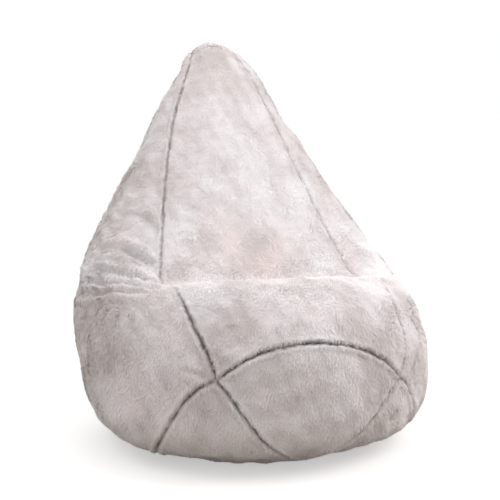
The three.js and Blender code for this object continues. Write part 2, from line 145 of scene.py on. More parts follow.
def makeStage():
    world = bpy.data.worlds.new("studio")
    scene.world = world
    world.use_nodes = True
    tree = world.node_tree
    tree.nodes.clear()
    # the room's soft glow, and the overexposed white backdrop that the lens sees behind the chair
    glow = addNode(tree, "ShaderNodeBackground", {0: (1, 1, 1, 1), 1: stageLook["glow"]})
    backdrop = addNode(tree, "ShaderNodeBackground", {0: (1, 1, 1, 1), 1: stageLook["backdrop"]})
    seen = addNode(tree, "ShaderNodeLightPath").outputs["Is Camera Ray"]
    both = addNode(tree, "ShaderNodeMixShader", {0: seen, 1: glow.outputs[0], 2: backdrop.outputs[0]})
    addNode(tree, "ShaderNodeOutputWorld", {0: both.outputs[0]})
    scene.view_settings.view_transform = "Standard"
    # painted studio floor: nearly white, with a faint roller stipple
    material, tree, shader, place = newMaterial("paintedFloor", Roughness=0.8)
    noise = addNode(tree, "ShaderNodeTexNoise", {"Vector": place, "Scale": 1 / stageLook["speckSize"]})
    colour = addNode(
        tree, "ShaderNodeMix", {0: noise.outputs["Fac"], 6: stageLook["paint"], 7: stageLook["stipple"]},
        data_type="RGBA",
    ).outputs[2]
    # the exposure burns the floor out, so the light that it sends up is weaker than it looks
    seen = addNode(tree, "ShaderNodeLightPath").outputs["Is Camera Ray"]
    colour = addNode(
        tree, "ShaderNodeMix", {0: seen, 6: stageLook["bounce"], 7: colour}, data_type="RGBA",
    ).outputs[2]
    tree.links.new(colour, shader.inputs["Base Color"])
    lift = addNode(tree, "ShaderNodeMath", {0: seen, 1: stageLook["lift"]}, operation="MULTIPLY")
    tree.links.new(lift.outputs[0], shader.inputs["Emission Strength"])
    mesh = bpy.data.meshes.new("floor")
    far = stageLook["floorHalf"]
    mesh.from_pydata([(-far, -far, 0), (far, -far, 0), (far, far, 0), (-far, far, 0)], [], [(0, 1, 2, 3)])
    mesh.materials.append(material)
    floor = bpy.data.objects.new("floor", mesh)
    scene.collection.objects.link(floor)


makeCamera()
makeLamps()
makeStage()
print("camera, lamps and floor")


# The filled bag as fourteen rings from the middle of the base to the tip, in shares of half the depth,
# half the width and the height: front (depth, height), side (width, depth, height), back (depth,
# height), and the angle from the front to the seam beside the front panel.
rings = [
    ((0, 0), (0, 0, 0), (0, 0), 31),
    ((-0.32, 0), (0.34, 0, 0), (0.36, 0), 31),
    ((-0.58, 0), (0.65, 0, 0), (0.67, 0), 31),
    ((-0.91, 0.08), (0.92, -0.12, 0.07), (0.9, 0.07), 31),
    ((-1, 0.235), (0.99, -0.01, 0.21), (0.98, 0.2), 31),
    ((-0.91, 0.37), (0.99, 0.12, 0.325), (1, 0.33), 36),
    ((-0.65, 0.44), (0.96, 0.2, 0.385), (0.95, 0.43), 38),
    ((-0.27, 0.4), (0.92, 0.24, 0.45), (0.9, 0.53), 39),
    ((-0.02, 0.515), (0.765, 0.325, 0.56), (0.85, 0.63), 41),
    ((0.19, 0.657), (0.59, 0.425, 0.68), (0.8, 0.73), 45),
    ((0.365, 0.805), (0.4, 0.525, 0.812), (0.75, 0.83), 52),
    ((0.51, 0.928), (0.21, 0.61, 0.938), (0.7, 0.93), 61),
    ((0.57, 0.972), (0.145, 0.635, 0.973), (0.7, 0.973), 66),
    ((0.65, 1), (0, 0.65, 1), (0.65, 1), 70),
]
lastRing = len(rings) - 1
cornerRing, archRing, veeRing, footRing, backFootRing = 4, 4.62, 2.35, 2.23, 1.85
capRing, capSpan = 12, 0.5
cornerAngle, footAngle, backSeamAngle = math.radians(31), math.radians(63), math.radians(135)


def smoothLine(points, ring):
    points = np.asarray(points, float)
    ends = np.vstack([2 * points[0] - points[1], points, 2 * points[-1] - points[-2]])
    ring = np.clip(np.asarray(ring, float), 0, len(points) - 1)
    at = np.minimum(ring.astype(int), len(points) - 2)
    w = (ring - at)[..., None]
    a, b, c, d = (ends[at + i] for i in range(4))
    return 0.5 * (2 * b + (c - a) * w + (2 * a - 5 * b + 4 * c - d) * w**2 + (3 * b - a - 3 * c + d) * w**3)


frontShape, sideShape, backShape, seamShape = (
    np.array([np.atleast_1d(ring[i]) for ring in rings]) for i in range(4)
)
fineRings = np.linspace(0, lastRing, 2000)
frontReach = smoothLine(frontShape, fineRings)[:, 0].min()
backReach = smoothLine(backShape, fineRings)[:, 0].max()
halfWidth = (cadHigh.x - cadLow.x) / 2 / smoothLine(sideShape, fineRings)[:, 0].max()
halfDepth = (cadHigh.y - cadLow.y) / (backReach - frontReach)
height = cadHigh.z
depthShift = cadLow.y - frontReach * halfDepth


def bell(value, middle, width):
    return np.exp(-(((value - middle) / width) ** 2))


seamTilt, seamBow = 0.12, math.radians(4)


# Where the cloth has slid to over the filling, with the seams uneven between left and right
def settled(angle, ring):
    turn = np.arctan2(np.sin(angle), np.cos(angle))
    front = np.where(np.cos(turn) > 0, np.sin(2 * turn), 0)
    bow = seamBow * bell(ring, 4.4, 0.5) * bell(turn, math.radians(36), math.radians(14))
    return turn + bow, ring - seamTilt * front * bell(ring, 4.1, 0.8)


# The surface of the pile at an angle from the front and a ring number
def surfacePoint(seamAngle, seamRing):
    angle, ring = settled(*np.broadcast_arrays(np.asarray(seamAngle, float), np.asarray(seamRing, float)))
    side = smoothLine(sideShape, ring) * (halfWidth, halfDepth, height)
    front = smoothLine(frontShape, ring) * (halfDepth, height)
    rear = smoothLine(backShape, ring) * (halfDepth, height)
    edge = np.where((np.cos(angle) >= 0)[..., None], front, rear)
    share = np.abs(np.cos(angle))
    x = side[..., 0] * np.sin(angle)
    y = mix(side[..., 1], edge[..., 0], share) + depthShift
    z = np.maximum(mix(side[..., 2], edge[..., 1], share**2), 0)
    return np.stack([x, y, z], -1)


def outward(angle, ring):
    step = 0.02
    around = surfacePoint(angle + step, ring) - surfacePoint(angle - step, ring)
    up = surfacePoint(angle, ring + step) - surfacePoint(angle, ring - step)
    normal = unit(np.cross(around, up))
    normal[np.asarray(ring) < 0.02] = (0, 0, -1)
    normal[np.asarray(ring) > lastRing - 0.02] = (0, 0, 1)
    return normal


# Seams, as an angle for a ring or a ring for an angle
def frontSeam(ring):
    angle = np.radians(smoothLine(seamShape, np.clip(ring, cornerRing, capRing))[..., 0])
    return mix(angle, math.pi, np.clip((np.asarray(ring) - capRing) / capSpan, 0, 1))


capStart = float(frontSeam(np.array([capRing]))[0])


def capSeam(angle):
    return capRing + capSpan * (angle - capStart) / (math.pi - capStart)


def archSeam(share):
    return mix(archRing, cornerRing, share**2)


def baseSeam(angle):
    turn = np.abs(np.asarray(angle, float))
    vee = mix(veeRing, cornerRing, np.clip(turn / cornerAngle, 0, 1) ** 1.2)
    foot = mix(cornerRing, footRing, np.clip((turn - cornerAngle) / (footAngle - cornerAngle), 0, 1) ** 1.5)
    rest = np.clip((math.pi - turn) / (math.pi - footAngle), 0, 1)
    rear = mix(backFootRing, footRing, rest**2)
    return np.where(turn < cornerAngle, vee, np.where(turn < footAngle, foot, rear))


# The zip runs up the straight stretch of the back: its frame has y out of the pile and z along the zip.
zipSize = dict(fromRing=6.2, length=0.36, slotHalf=0.0068, margin=0.034, round=0.016)
zipOrigin = surfacePoint(math.pi, zipSize["fromRing"])
zipAlong = unit(surfacePoint(math.pi, 10) - surfacePoint(math.pi, 6))
zipOut = np.array([0, zipAlong[2], -zipAlong[1]])


def zipPoint(x, y, z):
    x, y, z = np.broadcast_arrays(x, y, z)
    return zipOrigin + x[..., None] * np.array([1.0, 0, 0]) + y[..., None] * zipOut + z[..., None] * zipAlong


# Half the width of the slot over the zip, for a ring of the back line
def slotHalf(ring):
    along = (surfacePoint(math.pi, ring) - zipOrigin) @ zipAlong
    inside = np.minimum(along + zipSize["margin"], zipSize["length"] + zipSize["margin"] - along)
    return zipSize["slotHalf"] * np.sqrt(1 - (1 - np.clip(inside / zipSize["round"], 0, 1)) ** 2)


def backEdge(ring):
    width = np.maximum(smoothLine(sideShape, ring)[..., 0] * halfWidth, 1e-3)
    return math.pi - np.arcsin(np.clip(slotHalf(ring) / width, 0, 0.9))


def mirrored(patch):
    return dict(
        angle=lambda across, ring: -patch["angle"](1 - across, ring),
        foot=lambda across: patch["foot"](1 - across),
        head=lambda across: patch["head"](1 - across),
    )


frontPatch = dict(
    angle=lambda across, ring: (2 * across - 1) * frontSeam(ring),
    foot=lambda across: archSeam(2 * across - 1),
    head=lambda across: np.full_like(across, lastRing),
)
lensPatch = dict(
    angle=lambda across, ring: (2 * across - 1) * frontSeam(ring),
    foot=lambda across: baseSeam((2 * across - 1) * cornerAngle),
    head=lambda across: archSeam(2 * across - 1),
)
sidePatch = dict(
    angle=lambda across, ring: mix(frontSeam(np.minimum(ring, capRing)), backSeamAngle, across),
    foot=lambda across: baseSeam(mix(cornerAngle, backSeamAngle, across)),
    head=lambda across: capSeam(mix(capStart, backSeamAngle, across)),
)
backPatch = dict(
    angle=lambda across, ring: mix(backSeamAngle, backEdge(ring), across),
    foot=lambda across: baseSeam(mix(backSeamAngle, math.pi, across)),
    head=lambda across: capSeam(mix(backSeamAngle, math.pi, across)),
)


# Smooth noise of a given wavelength in metres: a seeded sum of plane waves, about -1 to 1
def waves(points, size, seed, stretch=(1, 1, 1)):
    rng = np.random.default_rng(seed)
    count = 18
    direction = unit(rng.normal(size=(count, 3))) * np.array(stretch)
    pitch = 2 * math.pi / size * rng.uniform(0.6, 1.7, count)
    phase = rng.uniform(0, 2 * math.pi, count)
    return np.sin(points @ (direction * pitch[:, None]).T + phase).sum(-1) / math.sqrt(count / 2) / 1.6


# Lines on the surface, with a depth and a width at each point, and the nearest of them to any point
class SurfaceLines:
    def __init__(self):
        self.places, self.depths, self.widths = [], [], []

    def add(self, angle, ring, depth, width):
        points = surfacePoint(angle, ring)
        run = np.concatenate([[0], np.cumsum(np.linalg.norm(np.diff(points, axis=0), axis=1))])
        count = max(int(run[-1] / 0.002), 2)
        at = np.linspace(0, run[-1], count)
        self.places.append(np.stack([np.interp(at, run, points[:, i]) for i in range(3)], 1))
        for kept, value in ((self.depths, depth), (self.widths, width)):
            kept.append(np.interp(at, run, np.broadcast_to(value, run.shape)))

    def close(self):
        self.places, self.depths, self.widths = map(np.concatenate, (self.places, self.depths, self.widths))
        self.tree = kdtree.KDTree(len(self.places))
        for i, place in enumerate(self.places):
            self.tree.insert(place, i)
        self.tree.balance()

    def nearest(self, points):
        found = [self.tree.find(p)[1:] for p in points]
        which = np.array([f[0] for f in found])
        return np.array([f[1] for f in found]), which


seamLook = dict(
    archDepth=0.0095, archWidth=0.0030,
    lowDepth=0.0095, lowWidth=0.0032,
    highDepth=0.0042, highWidth=0.0023,
    footDepth=0.0085, footWidth=0.0032,
    backDepth=0.0070, backWidth=0.0036,
    slotDepth=0.003, slotWidth=0.008,
    rightShare=0.6, roll=0.45, ragged=0.0017, raggedSize=0.009, wanderSize=0.028,
    uneven=0.35, unevenSize=0.035, shadeWidth=0.0029,
)


def sewSeams():
    look, seams = seamLook, SurfaceLines()
    ring = np.linspace(cornerRing, capRing + capSpan, 700)
    low = np.clip((6.0 - ring) / 0.5, 0, 1) * (0.5 + 0.5 * np.clip(5.7 - ring, 0, 1))
    for side, tightness in ((-1, 1), (1, look["rightShare"])):
        seams.add(
            side * frontSeam(ring), ring,
            tightness * mix(look["highDepth"], look["lowDepth"], low),
            mix(look["highWidth"], look["lowWidth"], low),
        )
        for start, end, kind in (
            (cornerAngle, footAngle, "foot"), (footAngle, math.pi, "back"), (0, cornerAngle, "foot"),
        ):
            turn = np.linspace(start, end, 300)
            seams.add(side * turn, baseSeam(turn), look[kind + "Depth"], look[kind + "Width"])
        level = np.linspace(float(baseSeam(backSeamAngle)), float(capSeam(backSeamAngle)), 600)
        seams.add(np.full_like(level, side * backSeamAngle), level, look["backDepth"], look["backWidth"])
    share = np.linspace(-1, 1, 500)
    seams.add(share * frontSeam(archSeam(share)), archSeam(share), look["archDepth"], look["archWidth"])
    ring = np.linspace(backFootRing, lastRing, 900)
    opened = np.clip(slotHalf(ring) / zipSize["slotHalf"], 0, 1)
    seams.add(
        np.full_like(ring, math.pi), ring,
        mix(look["backDepth"], look["slotDepth"], opened), mix(look["backWidth"], look["slotWidth"], opened),
    )
    seams.close()
    return seams


# Folds of the slack cloth beside the seat: points as (angle in degrees, ring), then depth and width.
folds = [
    ([(-40.5, 6.78), (-47, 6.9), (-53.5, 6.98), (-67, 6.98), (-80, 6.9)], 0.024, 0.0085),
    ([(-42, 6.12), (-49, 6.3), (-56.5, 6.62), (-74, 6.56), (-88, 6.42)], 0.020, 0.008),
    ([(-47, 5.9), (-57.5, 6.12), (-66, 6.2), (-83.5, 5.98), (-95, 5.8)], 0.014, 0.009),
    ([(-41, 7.3), (-52, 7.48), (-66, 7.52), (-80, 7.35)], 0.014, 0.010),
    ([(-42, 7.95), (-52, 8.15), (-64, 8.2)], 0.008, 0.011),
    ([(-46, 9.0), (-57, 9.15), (-70, 9.1)], 0.003, 0.013),
    ([(40, 6.7), (47, 6.62), (54.5, 6.42), (66, 6.3)], 0.006, 0.010),
    ([(41, 7.2), (49, 7.25), (60, 7.05)], 0.004, 0.012),
    ([(39, 6.0), (46, 5.8), (52, 5.62)], 0.005, 0.010),
    ([(-33, 4.02), (-38, 4.12), (-42, 4.16)], 0.006, 0.006),
    ([(-26, 4.55), (-22, 4.75)], 0.004, 0.008),
    ([(24, 4.55), (21, 4.8)], 0.004, 0.009),
    ([(-12, 4.78), (-10, 5.0)], 0.003, 0.009),
    ([(8, 4.8), (7, 5.05)], 0.003, 0.009),
]


def layFolds():
    lines = SurfaceLines()
    for points, depth, width in folds:
        points = np.array(points, float)
        at = np.linspace(0, len(points) - 1, 60)
        route = smoothLine(points, at)
        # a fold fades at both ends, and a pucker only away from its seam
        fade = np.linspace(1, 0, 60)
        if len(points) > 2:
            fade = np.sin(np.clip(at / at[-1], 0, 1) * math.pi) ** 0.6
        lines.add(np.radians(route[:, 0]), route[:, 1], depth * fade, width)
    lines.close()
    return lines


seams = sewSeams()
foldLines = layFolds()
# Where the filling pushes the cloth out or lets it sink: angle in degrees, ring, radius and height
swellings = [
    (0, 13, 0.085, 0.014),
    (82, 10.9, 0.09, 0.022),
    (-110, 12.3, 0.05, 0.008),
    (70, 3.7, 0.15, 0.017),
    (66, 6.25, 0.045, -0.006),
    (-60, 4.9, 0.12, 0.006),
    (0, 5.3, 0.20, 0.004),
    (-14, 6.3, 0.13, 0.009),
    (-34, 6.2, 0.06, 0.005),
]
clothLook = dict(
    swell=0.0045, swellSize=0.30, dimple=0.002, dimpleSize=0.07, foldRoll=0.75, tautBand=0.03,
    crepe=0.0019, crepeSize=0.017, crepeLevel=0.5, crepeBand=0.16, crepeFrom=0.12, deepest=0.0168,
)


# How far the backing cloth lies below its smooth surface, at points of that surface
def clothDepth(points):
    look = clothLook
    gap, which = seams.nearest(points)
    # the pile closes unevenly over the stitching, so the edges of a seam are ragged
    wander = waves(points, seamLook["raggedSize"], 8) + 0.7 * waves(points, seamLook["wanderSize"], 9)
    gap = np.abs(gap + seamLook["ragged"] * wander)
    depth = seams.depths[which] * (1 + seamLook["uneven"] * waves(points, seamLook["unevenSize"], 10))
    width = seams.widths[which]
    groove = depth * np.exp(-((gap / width) ** 1.15))
    shoulder = -seamLook["roll"] * depth * bell(gap, 3.2 * width, 1.8 * width)
    foldGap, fold = foldLines.nearest(points)
    foldDepth, foldWidth = foldLines.depths[fold], foldLines.widths[fold]
    crease = foldDepth * np.exp(-((foldGap / foldWidth) ** 1.3))
    crease -= look["foldRoll"] * foldDepth * bell(foldGap, 2.2 * foldWidth, 1.2 * foldWidth)
    # seams hold the cloth still, and it is slackest at the height of the seat on the left
    free = 1 - bell(gap, 0, look["tautBand"])
    left = bell(points[:, 2], look["crepeLevel"], look["crepeBand"])
    left = left * np.clip(-points[:, 0] / look["crepeFrom"] - 0.6, 0, 1)
    crepe = look["crepe"] * (0.25 + left) * waves(points, look["crepeSize"], 7, stretch=(0.35, 0.35, 1.3))
    swell = look["swell"] * waves(points, look["swellSize"], 3)
    swell = swell + look["dimple"] * waves(points, look["dimpleSize"], 5)
    for degrees, ring, radius, out in swellings:
        centre = surfacePoint(math.radians(degrees), ring)
        swell = swell - out * bell(np.linalg.norm(points - centre, axis=1), 0, radius)
    total = groove + shoulder + crease + free * crepe + (0.4 + 0.6 * free) * swell
    # the cloth bottoms out before it reaches the liner
    deepest = look["deepest"]
    total = np.where(total > 0, deepest * np.tanh(total / deepest), total)
    return total, gap, which


def edgeSpaced(length, fine, coarse, band):
    at = [0.0]
    while at[-1] < length / 2:
        at.append(at[-1] + mix(fine, coarse, min(at[-1] / band, 1)))
    half = np.array(at) * (length / 2 / at[-1])
    return np.concatenate([half, length - half[-2::-1]]) / length


def lengthAlong(points):
    return np.linalg.norm(np.diff(points, axis=0), axis=1).sum()


netSize = dict(fine=0.0016, coarse=0.0068, band=0.035)


# Angles and rings of a panel's net, closer together at its edges, and the size its cloth was cut to
def panelNet(patch):
    share = np.linspace(0, 1, 120)
    def column(across):
        ring = mix(patch["foot"](across), patch["head"](across), share)
        return surfacePoint(patch["angle"](across, ring), ring)
    columns = [column(np.full_like(share, across)) for across in (0.04, 0.25, 0.5, 0.75, 0.96)]
    length = max(lengthAlong(c) for c in columns)
    rows = []
    for level in np.linspace(0, 1, 24):
        ring = mix(patch["foot"](share), patch["head"](share), level)
        rows.append(lengthAlong(surfacePoint(patch["angle"](share, ring), ring)))
    width = max(rows)
    middle = columns[2]
    run = np.concatenate([[0], np.cumsum(np.linalg.norm(np.diff(middle, axis=0), axis=1))])
    up = np.interp(edgeSpaced(length, **netSize), run / run[-1], share)
    across = edgeSpaced(width, **netSize)
    ring = mix(patch["foot"](across)[None], patch["head"](across)[None], up[:, None])
    angle = patch["angle"](np.broadcast_to(across, ring.shape), ring)
    return angle, ring, (width, length)


baseSize = dict(fine=0.0022, coarse=0.009, band=0.04, radius=0.43, rows=90, crowding=1.7, reach=0.995)


# The base is one net from its middle outwards, closest together at its seams
def baseNet():
    size = baseSize
    stops = (0, cornerAngle, footAngle, backSeamAngle, math.pi)
    turns = []
    for low, high in zip(stops, stops[1:]):
        spaced = edgeSpaced((high - low) * size["radius"], size["fine"], size["coarse"], size["band"])
        turns.append(mix(low, high, spaced[:-1]))
    half = np.concatenate([*turns, [math.pi]])
    angles = np.concatenate([half, -half[-2:0:-1]])
    angles = np.concatenate([angles, angles[:1]])
    level = 1 - np.linspace(0, 1, size["rows"]) ** size["crowding"] * size["reach"]
    ring = baseSeam(angles)[None] * level[::-1, None]
    angle = np.broadcast_to(angles, ring.shape)
    return angle, ring, (2 * halfWidth, 2 * halfDepth)


def gridFaces(rows, columns):
    at = np.arange(rows * columns).reshape(rows, columns)
    return np.stack([at[:-1, :-1], at[:-1, 1:], at[1:, 1:], at[1:, :-1]], -1).reshape(-1, 4)


# A closed sheet over a grid of points, with a thickness towards its underside
def closedSheet(top, under):
    rows, columns = top.shape[:2]
    count = rows * columns
    grid = np.arange(count).reshape(rows, columns)
    quads = gridFaces(rows, columns)
    walls = [
        np.stack([line[:-1], line[:-1] + count, line[1:] + count, line[1:]], 1)
        for line in (grid[0], grid[:, -1], grid[-1, ::-1], grid[::-1, 0])
    ]
    points = np.concatenate([top.reshape(-1, 3), under.reshape(-1, 3)])
    return points, [quads, quads[:, ::-1] + count, *walls]


def vertexNormals(points, quads):
    a, b, c, d = (points[quads[:, i]] for i in range(4))
    face = np.cross(c - a, d - b)
    normal = np.zeros_like(points)
    for i in range(4):
        np.add.at(normal, quads[:, i], face)
    return unit(normal)


def makePiece(name, points, faces, material, smooth=True, attributes=None, merge=0.0):
    corners = np.concatenate([f.ravel() for f in faces])
    counts = np.concatenate([np.full(len(f), f.shape[1]) for f in faces])
    mesh = bpy.data.meshes.new(name)
    mesh.vertices.add(len(points))
    mesh.vertices.foreach_set("co", np.asarray(points, np.float32).ravel())
    mesh.loops.add(len(corners))
    mesh.loops.foreach_set("vertex_index", corners.astype(np.int32))
    mesh.polygons.add(len(counts))
    mesh.polygons.foreach_set("loop_start", np.concatenate([[0], np.cumsum(counts)[:-1]]).astype(np.int32))
    for key, values in (attributes or {}).items():
        mesh.attributes.new(key, "FLOAT", "POINT").data.foreach_set("value", np.asarray(values, np.float32))
    mesh.update(calc_edges=True)
    if merge:
        work = bmesh.new()
        work.from_mesh(mesh)
        bmesh.ops.remove_doubles(work, verts=work.verts, dist=merge)
        bmesh.ops.dissolve_degenerate(work, edges=work.edges, dist=merge / 2)
        bmesh.ops.recalc_face_normals(work, faces=work.faces)
        work.to_mesh(mesh)
        work.free()
    mesh.polygons.foreach_set("use_smooth", np.full(len(mesh.polygons), smooth))
    mesh.materials.append(material)
    piece = bpy.data.objects.new(name, mesh)
    scene.collection.objects.link(piece)
    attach(piece, "root")
    return piece


# Dense polyester plush, knitted and sheared short, darker at the roots than at the tips and pinker in patches.
# Its fibres lie in rumpled patches, where the tufts stand differently and the grey mixed in is painted shade.
# The seam colour is painted shade deep in the seam grooves.
plushLook = dict(
    tip="#F8F6F8", root="#D3CBC8", blush="#F9E7E5", grey="#D8D1D0", seam="#80756F",
    patchSize=0.11, grainSize=0.004, strandSize=0.0008,
)


def makePlush():
    look = plushLook
    material, tree, shader, place = newMaterial(
        "plushPolyester", Roughness=0.85, IOR=1.5,
        Sheen_Weight=0.35, Sheen_Roughness=0.45, Specular_IOR_Level=0.2,
    )
    rise, brushedShade, pink, paintedSeamShade = (
        addNode(tree, "ShaderNodeAttribute", attribute_name=name).outputs["Fac"]
        for name in ("rise", "brushedShade", "blush", "paintedSeamShade")
    )
    patches, grain, strands = (
        addNode(tree, "ShaderNodeTexNoise", {"Vector": place, "Scale": 1 / look[size], "Detail": detail})
        for size, detail in (("patchSize", 3.0), ("grainSize", 2.0), ("strandSize", 3.0))
    )
    blush = addNode(
        tree, "ShaderNodeMapRange",
        {"Value": patches.outputs["Fac"], "From Min": 0.5, "From Max": 0.72, "To Max": 0.4},
    )
    blush = addNode(
        tree, "ShaderNodeMath", {0: blush.outputs[0], 1: pink}, operation="ADD", use_clamp=True,
    ).outputs[0]
    tip = addNode(
        tree, "ShaderNodeMix", {0: blush, 6: look["tip"], 7: look["blush"]}, data_type="RGBA",
    ).outputs[2]
    # painted shade: where the pile is rumpled, the tips are mixed towards grey
    tip = addNode(
        tree, "ShaderNodeMix", {0: brushedShade, 6: tip, 7: look["grey"]}, data_type="RGBA",
    ).outputs[2]
    colour = addNode(
        tree, "ShaderNodeMix", {0: rise, 6: look["root"], 7: tip}, data_type="RGBA",
    ).outputs[2]
    shade = addNode(
        tree, "ShaderNodeMapRange",
        {"Value": grain.outputs["Fac"], "From Min": 0.3, "From Max": 0.7, "To Min": 0.97, "To Max": 1.02},
    ).outputs[0]
    grey = addNode(tree, "ShaderNodeCombineColor", {0: shade, 1: shade, 2: shade}).outputs[0]
    colour = addNode(
        tree, "ShaderNodeMix", {0: 1.0, 6: colour, 7: grey}, data_type="RGBA", blend_type="MULTIPLY",
    ).outputs[2]
    # painted shade: deep in the seam grooves the colour is mixed towards the dark seam colour
    colour = addNode(
        tree, "ShaderNodeMix", {0: paintedSeamShade, 6: colour, 7: look["seam"]}, data_type="RGBA",
    ).outputs[2]
    # single fibres are 0.02 mm thick, drawn as strands of under a millimetre
    finish(tree, shader, colour, strands.outputs["Fac"], 0.6, 0.0006)
    return material


plush = makePlush()
pile = dict(
    height=0.0062, backing=0.002, crushed=0.6, spacing=0.00286, length=0.0084, width=0.0018, sunk=0.0004,
    lift=34, roll=10, ruffle=6, ruffleSize=0.012, scatter=4, swirl=0.35, swirlSize=0.10, curlSize=0.028,
    tangle=0.28, parting=1.6, partingWidth=0.005, floorGap=0.0004,
)


# Tufts of fibres standing on a net of cloth: each is a ribbon of a quad and a tip, combed down
def growPile(name, points, normals, quads, fields, seed):
    rng = np.random.default_rng(seed)
    a, b, c, d = (points[quads[:, i]] for i in range(4))
    area = np.linalg.norm(np.cross(c - a, d - b), axis=1) / 2
    filled = np.cumsum(area) / pile["spacing"] ** 2
    count = int(filled[-1])
    face = quads[np.searchsorted(filled, np.arange(count) + rng.random(count)).clip(0, len(quads) - 1)]
    s, t = rng.random((2, count))
    share = np.stack([(1 - s) * (1 - t), s * (1 - t), s * t, (1 - s) * t], 1)
    def at(values):
        return np.einsum("nk,nk...->n...", share, values[face])
    root, normal = at(points), unit(at(normals))
    brushedShade, blush, paintedSeamShade, gap, away, down = (at(values) for values in fields)
    swirl = [
        waves(root, pile["swirlSize"], 20 + i) + 0.4 * waves(root, pile["curlSize"], 30 + i) for i in range(3)
    ]
    nap = down + pile["swirl"] * np.stack(swirl, 1) + pile["tangle"] * rng.normal(size=(count, 3))
    # it parts along the seams
    nap += away * (pile["parting"] * np.exp(-gap / pile["partingWidth"]))[:, None]
    nap = unit(nap - normal * (nap * normal).sum(1, keepdims=True))
    side = np.cross(normal, nap)
    tilt = np.radians(pile["roll"]) * rng.normal(size=count)[:, None]
    side = side * np.cos(tilt) + normal * np.sin(tilt)
    ruffle = pile["ruffle"] * waves(root, pile["ruffleSize"], 41)
    scatter = pile["scatter"] * rng.normal(size=count)
    lift = np.radians(pile["lift"] + ruffle + pile["ruffle"] * brushedShade + scatter)
    length = pile["length"] * rng.uniform(0.8, 1.15, count)
    low, high = length * 0.45, length * 0.55
    def reach(run, angle):
        return nap * (run * np.cos(angle))[:, None] + normal * (run * np.sin(angle))[:, None]
    # a tuft rises and then bends over
    start = root - normal * pile["sunk"]
    middle = start + reach(low, lift + 0.2)
    tip = middle + reach(high, lift - 0.35)
    half = side * (pile["width"] / 2 * rng.uniform(0.75, 1.2, count))[:, None]
    corners = np.stack([start - half, start + half, middle + half * 0.8, middle - half * 0.8, tip], 1)
    corners[..., 2] = np.maximum(corners[..., 2], pile["floorGap"])
    first = np.arange(count)[:, None] * 5
    tone = np.repeat(np.clip(brushedShade + 0.08 * rng.normal(size=count), 0, 1), 5)
    piece = makePiece(
        name, corners.reshape(-1, 3), [first + [0, 1, 2, 3], first + [3, 2, 4]], plush,
        attributes=dict(
            rise=np.tile([0, 0, 0.6, 0.6, 1], count), brushedShade=tone,
            blush=np.repeat(blush, 5), paintedSeamShade=np.repeat(paintedSeamShade, 5),
        ),
    )
    # each tuft has its own cell of the map
    across = math.ceil(math.sqrt(count))
    cell = np.stack([np.arange(count) % across, np.arange(count) // across], 1)[:, None] / across
    shape = np.array([(0.1, 0.1), (0.9, 0.1), (0.9, 0.6), (0.1, 0.6), (0.5, 0.95)]) / across
    spots = (cell + shape).reshape(-1, 2)
    index = np.zeros(len(piece.data.loops), np.int32)
    piece.data.loops.foreach_get("vertex_index", index)
    piece.data.uv_layers.new(name="OFBake").data.foreach_set("uv", spots[index].astype(np.float32).ravel())
    return piece


def smoothStep(value, low, high):
    share = np.clip((value - low) / (high - low), 0, 1)
    return share * share * (3 - 2 * share)


brushShadeLook = dict(level=0.4, broad=0.36, broadSize=0.16, small=0.22, smallSize=0.05, edge=0.015, edgeSize=0.06)
# Spots where hands have rumpled the pile, with painted shade and painted highlight: angle in degrees, ring,
# radius, how grey it looks (painted shade above zero, painted highlight below zero) and how pink it looks
shadedRuffleSpots = [
    (-36, 7.4, 0.05, 0.6, 0.1),
    (-64, 4.8, 0.09, 0.5, 0.0),
    (-19, 5.2, 0.05, 0.6, 0.1),
    (-31, 3.8, 0.05, 0.5, 0.0),
    (20, 4.6, 0.04, 0.7, 0.0),
    (-35, 11.3, 0.09, 0.4, 0.3),
    (22, 9.0, 0.16, -0.2, -0.2),
    (-16, 8.3, 0.08, -0.4, 0.1),
    (2, 7.6, 0.10, 0.0, 0.9),
    (30, 5.8, 0.10, -0.1, 0.0),
    (0, 6.2, 0.10, -0.1, 0.0),
    (-60, 3.6, 0.10, -0.2, 0.3),
]


